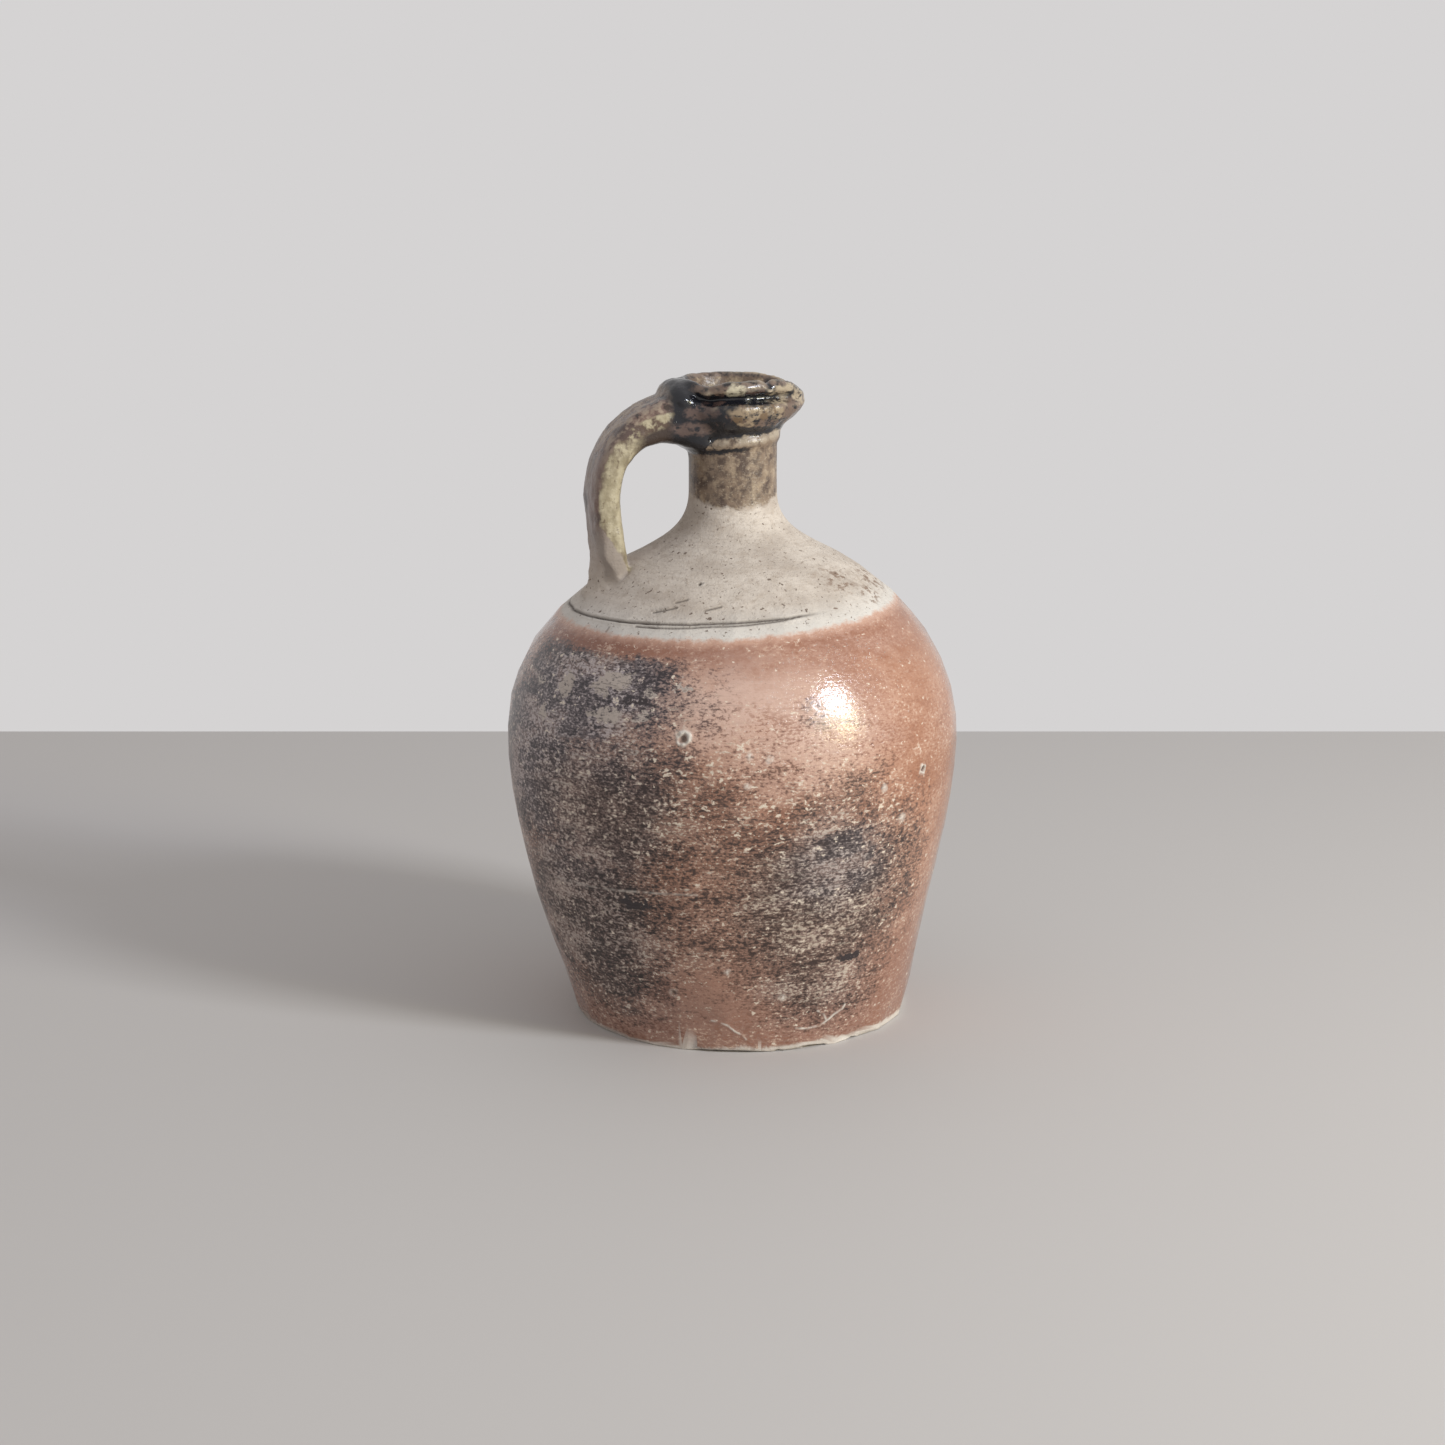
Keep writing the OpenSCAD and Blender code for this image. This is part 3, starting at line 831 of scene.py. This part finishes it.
# Salt-glazed stoneware. Salt thrown into the kiln melts on the clay as a thin glassy orange-brown skin,
# freckled slate, brown and tan where ash and smoke met it, and leaves the sheltered shoulder matt and beige.
# The collar was dipped in a dark iron glaze, which runs black and glossy in the hollows and breaks to ochre
# on the rolls
glaze = {
    # size in mm, octaves, their strength, how flat the grain lies
    "grains": {
        "drift": (55, 2, 0.5, 1.3),
        "cloud": (17, 3, 0.55, 1.8),
        "mottle": (3.6, 3, 0.6, 0.9),
        "fleck": (1.3, 4, 0.64, 1.75),
        "grit": (2.4, 3, 0.6, 1.5),
        "streak": (12, 4, 0.66, 16),
        "stain": (2.9, 3, 0.55, 0.75),
        "sand": (0.7, 2, 0.5, 1),  # coarser than the real sand, which is too fine to be seen from here
        "pit": (1.5, 2, 0.5, 1),
        "peel": (1.9, 3, 0.5, 1),
    },
    # how many mm each grain moves the place at which patches and edges are read
    "moves": {
        "ragged": [("cloud", 22), ("mottle", 9), ("grit", 9)],
        "frayed": [("mottle", 3.4), ("fleck", 1.6)],
        "torn": [("mottle", 4.2), ("grit", 1.6)],
        "shredded": [("mottle", 10), ("grit", 6)],
    },
    # how much the other grains add to the flecks in the freckles
    "freckle": [("grit", 0.42), ("cloud", 0.36), ("streak", 0.46)],
    # a reading is its name, its value where something starts and its value where that is full; a drift of
    # another tone is a reading, its share and its tone
    "skin": "#b88b73",
    "skinDrifts": [
        ("drift", 0.42, 0.62, 0.8, "#9a6850"),
        ("cloud", 0.48, 0.70, 0.5, "#c9a48f"),
        ("streak", 0.53, 0.62, 0.65, "#96634b"),
    ],
    "skinFlecks": [
        ("freckle", 0.49, 0.39, 0.6, "#8f5f48"),
        ("freckle", 0.57, 0.67, 0.7, "#cfae99"),
    ],
    "skinSides": [("up", 70, 12, 0.75, "#937266"), ("toRight", 40, 68, 0.35, "#9b6845")],
    # the rosy tone: a paler glaze, partly painted sheen of the window's haze round its highlight
    "skinRosySheen": "#cfb1a3",
    "skinEdge": "#815240",
    # rosy patches round the window's highlight: paler glaze with painted sheen
    "rosySheen": [(2, 121, 34, 14, 0.8), (20, 112, 26, 16, 0.8), (38, 135, 26, 4.5, 0.35)],
    "calm": [(8, 127, 24, 9, 0.8), (62, 126, 34, 10, 0.5), (-8, 20, 12, 12, 0.7)],
    "creamFleck": "#e0d2c0",
    # fired patches: turn and height of the middle, half width, half height, strength
    "fired": [
        (-44, 118, 41, 18, 1.0), (-46, 126, 34, 12, 1.2), (-62, 96, 40, 36, 1.0), (-36, 84, 42, 36, 0.88),
        (-46, 46, 38, 36, 1.0), (-43, 24, 19, 18, 0.85), (-6, 80, 30, 27, 0.58), (-8, 48, 28, 24, 0.55),
        (24, 56, 38, 36, 0.95), (27, 28, 26, 20, 0.8), (132, 62, 40, 38, 0.9), (-152, 96, 42, 38, 0.95),
        (-168, 40, 34, 30, 0.8), (168, 124, 28, 13, 0.8), (24, 115, 11, 5.5, 0.5),
    ],
    "tones": {"ground": "#5e4b45", "light": "#b0a198", "dark": "#271b19"},
    "groundDrifts": [("cloud", 0.50, 0.60, 0.65, "#8d766d")],
    # further palettes laid over the first, each over its own patches
    "zones": [
        (
            {"ground": "#6c6163", "light": "#bcb0af", "dark": "#322a2e"},
            [(-42, 118, 46, 20), (-52, 94, 38, 28, 0.8), (-160, 108, 34, 20)],
        ),
        (
            {"ground": "#766056", "light": "#bcac9c", "dark": "#3f2e28"},
            [(23, 58, 40, 40), (132, 60, 38, 36), (-4, 84, 20, 24), (-36, 84, 24, 13, 0.7)],
        ),
        (
            {"ground": "#655a59", "light": "#b0a39e", "dark": "#342b2d"},
            [(29, 68, 18, 15), (128, 70, 18, 16)],
        ),
    ],
    # pale worn blotches and dark smudges: tone, the freckle's value where they start, and patches
    "worn": [
        ("#b8aba1", 0.30, [
            (-33, 126.0, 7.0, 2.6), (-37, 123.0, 3.4, 2.8), (-50, 122, 2.8, 4.4), (-34, 115, 6.6, 2.0),
            (-22, 122.4, 2.6, 1.6), (-63, 121, 1.8, 3.0), (-23.5, 116, 3.6, 1.2), (-14, 126, 3.0, 1.3),
            (-56, 112, 3.4, 1.7),
        ]),
        ("#2f2628", 0.10, [(36, 32, 4.6, 1.3), (-26.6, 53.3, 6.5, 1.8), (-24, 119.6, 7, 0.9)]),
    ],
    "chalky": [(-6, 96, 30, 14), (8, 88, 26, 10), (42, 86, 14, 7), (2, 106, 18, 6), (-20, 88, 16, 14)],
    # the matt clay's edge: its height, its slope to the right and its bend
    "clayEdge": (139.0, 0.045, 0.0006),
    "clay": "#cfc4b8",
    "clayDrifts": [
        ("cloud", 0.60, 0.36, 1.0, "#b8aca0"),
        ("streak", 0.50, 0.66, 0.4, "#b3a597"),
        ("mottle", 0.50, 0.66, 0.55, "#b3a597"),
        ("fleck", 0.58, 0.70, 0.45, "#86705f"),
        ("aboveEdge", 9, 1.5, 0.7, "#d4d0ca"),
    ],
    "clayPits": [
        ("pit", 0.66, 0.71, 0.85, "#5d4a3d"),
        ("grit", 0.68, 0.73, 0.8, "#6d5444"),
    ],
    "clayRust": "#8b7667",
    "rusty": [(53, 153, 7, 4), (64, 148, 6, 3), (81, 151, 8, 4), (-160, 156, 9, 4), (150, 150, 7, 3)],
    # a coat is its tone, its roughness, how much of the relief shows in it, and any readings that limit it
    "fringe": ("#cda793", 0.4, 1, ("aboveEdge", -2.6, 0.2)),
    "neck": "#84715f",
    "neckDrifts": [
        ("stain", 0.56, 0.38, 1.0, "#54443a"),
        ("mottle", 0.50, 0.68, 0.75, "#b09c84"),
        ("fleck", 0.56, 0.68, 0.5, "#bcab95"),
    ],
    # the pale ridge under the collar, pale glaze with a painted highlight on its top, and the black line of
    # painted shade beneath it
    "neckRidgeHighlightAndShade": [
        ("#aa9c89", 0.3, 0.6, ("upNeck", 195.4, 197.2), ("stain", 0.38, 0.60), ("toRight", -13, -2)),
        ("#17181e", 0.1, 0.4, ("upNeck", 193.6, 194.2), ("upNeck", 195.7, 195.1), ("toRight", 8, 3)),
    ],
    "collarCoats": [
        ("#17181e", 0.06, 0.45),
        ("#55433d", 0.2, 0.4, ("upNeck", 202, 204), ("mottle", 0.52, 0.62), ("toLip", -13, -9)),
        ("#7a685c", 0.3, 0.4, ("up", 214.6, 216.2), ("mottle", 0.40, 0.56), ("toLip", -14, -10)),
    ],
    "collarDips": ("#17181e", 0.08, 0.25, ("upNeck", 199, 203), ("toRight", 18, 14)),
    # tone and patches of the glaze where it is thin or thick
    "collarPatches": [
        ("#6f5c50", [(66, 207, 6, 4), (84, 206, 8, 5), (38, 203.2, 6, 1.1), (-20, 214.8, 8, 1.7)]),
        ("#5b4a44", [(-31, 207.2, 5.5, 2.3), (-60, 201.0, 6.5, 2.6), (-38, 201.5, 7.0, 2.2)]),
        ("#95836c", [(20, 206.9, 8.2, 2.2), (14, 203.7, 3.2, 1.4), (50, 206.6, 3.2, 2.6)]),
        ("#6b563f", [
            (33, 205.6, 1.6, 2.0), (8, 205.0, 2.4, 1.0), (46, 207.7, 0.8, 2.4), (24, 208.8, 3.0, 0.7),
        ]),
        ("#a99a83", [
            (58, 211.5, 4.5, 2.8), (66, 214.4, 5.5, 1.3), (84, 211.5, 3.2, 2.6), (104, 210.5, 4.0, 3.0),
        ]),
        ("#75665b", [(130, 205, 9, 3), (175, 207, 8, 3), (-140, 205, 9, 3), (20, 215.5, 6, 1.2)]),
        ("#cbc3ab", [(3.6, 213.9, 3.3, 2.7)]),
    ],
    "strapOuter": "#776056",
    "strapOuterDrifts": [("cloud", 0.44, 0.64, 0.9, "#4a3e3a"), ("mottle", 0.54, 0.64, 0.5, "#8f7f72")],
    "strapSide": "#b3a88d",
    "strapSideDrifts": [
        ("stain", 0.58, 0.38, 1.0, "#968a70"),
        ("pit", 0.62, 0.70, 0.7, "#6b5a48"),
    ],
    "strapStain": "#5f4d40",
    "strapTop": [
        ("#9b8978", 0.4, 0.6, ("up", 186, 200), ("mottle", 0.46, 0.54)),
        ("#42352e", 0.2, 0.5, ("up", 186, 200), ("mottle", 0.44, 0.38)),
    ],
    # painted shade: a darker clay tone over the flanks of the strap's root
    "strapRootShade": ("#988c82", 0.8, 1, ("up", 172, 162), ("up", 150, 155)),
    # painted shade on the strap's inner face, under its arch
    "strapArchShade": ("#42352e", 0.3, 0.6),
    "sole": ("#b09a85", 0.85, 1, ("height", 0.5, 0.2)),
    # coats laid where the clay's own values say
    "wear": {
        "edge": ("#c4b49c", 0.35, 0.6, ("up", 198, 206), ("cloud", 0.36, 0.58), ("toLip", -15, -12)),
        "bare": ("#d6cdc3", 0.8, 1),
        # cut lines and the pits' hollows painted darker
        "cut": ("#453a32", 0.7, 1),
    },
    "inside": "#6a584a",
    "insideDrifts": [("mottle", 0.50, 0.64, 1.0, "#a08d75")],
}


# How much of each place a set of patches covers, each by its turn, height, half width, half height, strength
def patchesShare(add, where, outer, patches, soft):
    share = None
    for turn, height, wide, tall, *strength in patches:
        size = np.array((wide, wide, tall))
        moved = {0: where, 1: tuple(1 / size), 2: tuple(-spotOn(outer, turn, height) / size)}
        local = add("VectorMath", moved, operation="MULTIPLY_ADD")
        away = add("VectorMath", {0: local}, out="Value", operation="LENGTH")
        most = strength[0] if strength else 1
        one = add("MapRange", {"Value": away, "From Min": 1 + soft, "From Max": 1 - soft, "To Max": most})
        share = one if share is None else add("Math", {0: share, 1: one}, operation="MAXIMUM")
    return share


# How much of each place lies where all of a set of readings pass
def readingsShare(add, at, readings, share=1):
    for name, start, full in readings:
        share = add("MapRange", {"Value": at[name], "From Min": start, "From Max": full, "To Max": share})
    return share


# The place in mm, the grains there, and the places read a little way off that make edges ragged
def readPlace(add):
    place = add("Mapping", {"Vector": add("TexCoord", out="Object"), "Scale": (1 / mm, 1 / mm, 1 / mm)})
    at = {"place": place}
    offsets = {}
    for i, (name, (size, octaves, strength, flat)) in enumerate(glaze["grains"].items()):
        moved = add("Mapping", {"Vector": place, "Location": (37 * i, 11 * i, 0), "Scale": (1, 1, flat)})
        inputs = {"Vector": moved, "Scale": 1 / size, "Detail": octaves, "Roughness": strength}
        at[name] = add("TexNoise", inputs | {"Distortion": 0.15})
        offsets[name] = at[name].node.outputs["Color"]
    for name, moves in glaze["moves"].items():
        where = place
        for grain, reach in moves:
            moved = {0: offsets[grain], 1: (reach,) * 3, 2: where}
            where = add("VectorMath", moved, operation="MULTIPLY_ADD")
        half = sum(reach for _, reach in moves) / 2
        at[name] = add("VectorMath", {0: where, 1: (half,) * 3}, operation="SUBTRACT")
    at["toLip"] = add("SeparateXYZ", {0: at["frayed"]})
    at["aside"] = at["toLip"].node.outputs["Y"]
    at["up"] = at["toLip"].node.outputs["Z"]
    freckle = at["fleck"]
    for name, weight in glaze["freckle"]:
        freckle = add("Math", {0: at[name], 1: weight, 2: freckle}, operation="MULTIPLY_ADD")
    half = sum(weight for _, weight in glaze["freckle"]) / 2
    at["freckle"] = add("Math", {0: freckle, 1: half}, operation="SUBTRACT")
    right = tuple(seen(1, 0, 0) / mm)
    at["toRight"] = add("VectorMath", {0: at["frayed"], 1: right}, out="Value", operation="DOT_PRODUCT")
    edge, slope, bend = glaze["clayEdge"]
    above = add("Math", {0: at["up"], 1: edge}, operation="SUBTRACT")
    climb = add("Math", {0: at["toRight"], 1: bend, 2: slope}, operation="MULTIPLY_ADD")
    climb = add("Math", {0: climb, 1: at["toRight"]}, operation="MULTIPLY")
    at["aboveEdge"] = add("Math", {0: above, 1: climb}, operation="SUBTRACT")
    slant = (-math.tan(math.radians(lip["tilt"])), 0, 1)
    at["upNeck"] = add("VectorMath", {0: at["frayed"], 1: slant}, out="Value", operation="DOT_PRODUCT")
    at["strap"] = add("Attribute", out="Fac", attribute_name="strap")
    return at


def driftTones(add, at, tone, drifts):
    tone = toneOf(tone)
    for *reading, share, other in drifts:
        here = readingsShare(add, at, [reading], share)
        tone = add("Mix", {0: here, 6: tone, 7: toneOf(other)}, out=2, data_type="RGBA")
    return tone


# Lays coats one over another, all within the same share
def layCoats(add, at, under, share, coats):
    for tone, rough, relief, *readings in coats:
        here = readingsShare(add, at, readings, share)
        under = (
            add("Mix", {0: here, 6: under[0], 7: toneOf(tone)}, out=2, data_type="RGBA"),
            add("Mix", {0: here, 2: under[1], 3: rough}),
            add("Mix", {0: here, 2: under[2], 3: relief}),
        )
    return under


# The orange skin, redder under the matt clay and browner low down, and the fire's flecks and drag lines on it
def glazeSkin(add, at, outer):
    body = driftTones(add, at, glaze["skin"], glaze["skinDrifts"])
    under = readingsShare(add, at, [("aboveEdge", -13, -3)], 0.85)
    # pale rosy patches round the window's highlight: paler glaze and painted sheen
    rosySheen = patchesShare(add, at["ragged"], outer, glaze["rosySheen"], 0.6)
    body = add("Mix", {0: rosySheen, 6: body, 7: toneOf(glaze["skinRosySheen"])}, out=2, data_type="RGBA")
    sides = glaze["skinSides"] + [("toRight", 50, -35, under, glaze["skinEdge"])]
    body = driftTones(add, at, body, sides)
    calm = patchesShare(add, at["ragged"], outer, glaze["calm"], 0.5)
    flecked = driftTones(add, at, body, glaze["skinFlecks"])
    body = add("Mix", {0: calm, 6: flecked, 7: body}, out=2, data_type="RGBA")

    fired = patchesShare(add, at["ragged"], outer, glaze["fired"], 0.55)
    fired = readingsShare(add, at, [("aboveEdge", -3.2, -6.5)], fired)
    marked = add("Math", {0: at["freckle"], 1: -1.2, 2: fired}, operation="MULTIPLY_ADD")
    marked = add("MapRange", {"Value": marked, "From Min": -0.33, "From Max": 0.25})
    zoned = [patchesShare(add, at["ragged"], outer, patches, 0.5) for _, patches in glaze["zones"]]
    dark = readingsShare(add, at, [("freckle", 0.49, 0.39)], marked)
    start = add("MapRange", {"Value": fired, "To Min": 0.70, "To Max": 0.51})
    past = add("Math", {0: at["freckle"], 1: start}, operation="SUBTRACT")
    most = {"Value": at["up"], "From Min": 130, "From Max": 104, "To Min": 0.3, "To Max": 0.9}
    most = add("Math", {0: add("MapRange", most), 1: marked}, operation="MAXIMUM")
    light = add("MapRange", {"Value": past, "From Min": 0.01, "From Max": 0.08, "To Max": most})
    for part, share in (("ground", marked), ("dark", dark), ("light", light)):
        tone = toneOf(glaze["tones"][part])
        for (palette, _), here in zip(glaze["zones"], zoned):
            tone = add("Mix", {0: here, 6: tone, 7: toneOf(palette[part])}, out=2, data_type="RGBA")
        if part == "ground":
            tone = driftTones(add, at, tone, glaze["groundDrifts"])
        if part == "light":
            pale = toneOf(glaze["creamFleck"])
            tone = add("Mix", {0: fired, 6: pale, 7: tone}, out=2, data_type="RGBA")
        body = add("Mix", {0: share, 6: body, 7: tone}, out=2, data_type="RGBA")

    # white flecks, thickest in the middle, then blotches, smudges and dark drag lines
    start = add("MapRange", {"Value": fired, "To Min": 0.665, "To Max": 0.635})
    chalky = patchesShare(add, at["ragged"], outer, glaze["chalky"], 0.6)
    start = add("Math", {0: chalky, 1: -0.05, 2: start}, operation="MULTIPLY_ADD")
    past = add("Math", {0: at["grit"], 1: start}, operation="SUBTRACT")
    chalk = add("MapRange", {"Value": past, "From Max": 0.04, "To Max": 0.9})
    body = add("Mix", {0: chalk, 6: body, 7: toneOf(glaze["creamFleck"])}, out=2, data_type="RGBA")
    for tone, start, patches in glaze["worn"]:
        share = patchesShare(add, at["shredded"], outer, patches, 0.1)
        body = driftTones(add, at, body, [("freckle", start, start + 0.2, share, tone)])
    dragged = add("Math", {0: fired, 1: 0.6}, operation="MULTIPLY")
    body = driftTones(add, at, body, [("streak", 0.57, 0.63, dragged, glaze["tones"]["dark"])])
    rough = add("MapRange", {"Value": marked, "To Min": 0.085, "To Max": 0.33})
    rough = add("Math", {0: light, 1: 0.2, 2: rough}, operation="MULTIPLY_ADD")
    return body, rough, add("MapRange", {"Value": marked, "To Min": 0.65})


# The matt clay of the shoulder, darker in drifts, pale just above its edge and pitted
def coatShoulder(add, at, coat, outer):
    coat = layCoats(add, at, coat, 0.85, [glaze["fringe"]])
    clay = driftTones(add, at, glaze["clay"], glaze["clayDrifts"])
    rusty = patchesShare(add, at["torn"], outer, glaze["rusty"], 0.5)
    rust = ("grit", 0.50, 0.58, rusty, glaze["clayRust"])
    clay = driftTones(add, at, clay, [rust] + glaze["clayPits"])
    return layCoats(add, at, coat, 1, [(clay, 0.8, 1, ("aboveEdge", -0.3, 1.1))])


# The neck's thin glaze ends in a line that dips towards the camera's side; under the collar run a pale ridge,
# partly painted highlight, and a black line of painted shade beneath it
def coatNeck(add, at, coat):
    front = seen(math.sin(math.radians(5)), -math.cos(math.radians(5)), 0) / mm
    dip = {0: at["frayed"], 1: (front.x / 3, front.y / 3, 1)}
    at["upFront"] = add("VectorMath", dip, out="Value", operation="DOT_PRODUCT")
    offStrap = add("Math", {0: 1.0, 1: at["strap"]}, operation="SUBTRACT")
    byNeck = readingsShare(add, at, [("toLip", -19, -17)])
    offStrap = add("Math", {0: offStrap, 1: byNeck}, operation="MAXIMUM")
    here = readingsShare(add, at, [("upFront", 179.4, 180.8)], offStrap)
    neck = driftTones(add, at, glaze["neck"], glaze["neckDrifts"])
    return layCoats(add, at, coat, here, [(neck, 0.38, 0.8)] + glaze["neckRidgeHighlightAndShade"])


# The strap: grey-brown outer face, cream sides with a ragged border, painted shade on the root's flanks and
# under the arch
def coatStrap(add, at, coat):
    across = add("Attribute", out="Fac", attribute_name="strapAcross")
    at["across"] = add("Math", {0: at["mottle"], 1: 2.2, 2: across}, operation="MULTIPLY_ADD")
    onGrip = readingsShare(add, at, [("up", 151, 171)], at["strap"])
    outer = driftTones(add, at, glaze["strapOuter"], glaze["strapOuterDrifts"])
    coat = layCoats(add, at, coat, onGrip, [(outer, 0.34, 0.6)] + glaze["strapTop"])

    border = {"Value": at["up"], "From Min": 156, "From Max": 170, "To Min": -3.0, "To Max": 4.6}
    at["within"] = add("Math", {0: add("MapRange", border), 1: at["across"]}, operation="SUBTRACT")
    side = driftTones(add, at, glaze["strapSide"], glaze["strapSideDrifts"])
    stained = readingsShare(add, at, [("within", 2.4, 0.4)], 0.8)
    upper = readingsShare(add, at, [("up", 186, 200)])
    stained = add("Math", {0: stained, 1: upper}, operation="MAXIMUM")
    side = driftTones(add, at, side, [("mottle", 0.46, 0.56, stained, glaze["strapStain"])])
    at["beside"] = add("Math", {0: at["aside"]}, operation="ABSOLUTE")
    flank = readingsShare(add, at, [("beside", 7.5, 9.0)], at["strap"])
    # the flanks take the root's painted shade first, then the cream sides over it
    coat = layCoats(add, at, coat, flank, [glaze["strapRootShade"], (side, 0.45, 0.6, ("within", 0, 0.7))])

    # painted shade: the strap's inner face under the arch is darkened
    under = readingsShare(add, at, [("across", -2.6, -3.6), ("up", 168, 186)], at["strap"])
    arch = readingsShare(add, at, [("across", 0.6, -0.8), ("toLip", -37, -32)], at["strap"])
    under = add("Math", {0: under, 1: arch}, operation="MAXIMUM")
    return layCoats(add, at, coat, under, [glaze["strapArchShade"]])


# The collar's dark glaze, which also runs a little way down the neck beside the strap
def coatCollar(add, at, coat, outer):
    onCollar = readingsShare(add, at, [("upNeck", 198.4, 199.4)])
    slanted = add("Math", {0: at["stain"], 1: 12, 2: at["toLip"]}, operation="MULTIPLY_ADD")
    at["slanted"] = add("Math", {0: at["upNeck"], 1: -0.9, 2: slanted}, operation="MULTIPLY_ADD")
    byStrap = readingsShare(add, at, [("slanted", -181.0, -182.2), ("up", 192.8, 194.0)])
    onCollar = add("Math", {0: onCollar, 1: byStrap}, operation="MAXIMUM")
    onCollar = readingsShare(add, at, [("toLip", -25.5, -22.5)], onCollar)
    coat = layCoats(add, at, coat, onCollar, glaze["collarCoats"])
    for tone, patches in glaze["collarPatches"]:
        here = patchesShare(add, at["torn"], outer, patches, 0.2)
        coat = layCoats(add, at, coat, here, [(tone, 0.25, 0.5, ("grit", 0.36, 0.50))])
    dip = add("Attribute", out="Fac", attribute_name="dip")
    return layCoats(add, at, coat, dip, [glaze["collarDips"]])


# The pot's inside, the sole it stands on, worn edges, bare clay, and cuts and pits painted darker
def coatWear(add, at, coat):
    within = driftTones(add, at, glaze["inside"], glaze["insideDrifts"])
    inside = add("Attribute", out="Fac", attribute_name="inside")
    coat = layCoats(add, at, coat, inside, [(within, 0.35, 0.6)])
    coat = layCoats(add, at, coat, 1, [glaze["sole"]])
    for name, worn in glaze["wear"].items():
        coat = layCoats(add, at, coat, add("Attribute", out="Fac", attribute_name=name), [worn])
    return coat


def addGlaze(obj, outer):
    mat = bpy.data.materials.new("salt_glazed_stoneware")
    mat.use_nodes = True
    tree = mat.node_tree
    tree.nodes.clear()
    add = partial(addNode, tree)
    at = readPlace(add)
    coat = glazeSkin(add, at, outer)
    coat = coatShoulder(add, at, coat, outer)
    coat = coatNeck(add, at, coat)
    coat = coatStrap(add, at, coat)
    coat = coatCollar(add, at, coat, outer)
    at["height"] = add("SeparateXYZ", {0: at["place"]}, out="Z")
    body, rough, shown = coatWear(add, at, coat)

    # relief in mm: the salt's orange peel, raised flecks, drag lines and the sandy clay
    relief = add("Math", {0: at["peel"], 1: 0.16}, operation="MULTIPLY")
    raised = readingsShare(add, at, [("fleck", 0.56, 0.66)])
    sandy = readingsShare(add, at, [("height", 139, 143)], at["sand"])
    for depth, share in ((0.06, raised), (0.12, at["streak"]), (0.14, sandy)):
        relief = add("Math", {0: share, 1: depth, 2: relief}, operation="MULTIPLY_ADD")
    bump = add("Bump", {"Height": relief, "Distance": mm, "Strength": shown})
    surface = add("BsdfPrincipled", {"Base Color": body, "Roughness": rough, "IOR": 1.55, "Normal": bump})
    add("OutputMaterial", {"Surface": surface})
    obj.data.materials.append(mat)


bpy.context.view_layer.update()
addGlaze(jug, BVHTree.FromObject(jug, bpy.context.evaluated_depsgraph_get()))
print("glazed")
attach(jug, "root")
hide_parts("jug")
bpy.context.scene.view_settings.view_transform = "Standard"
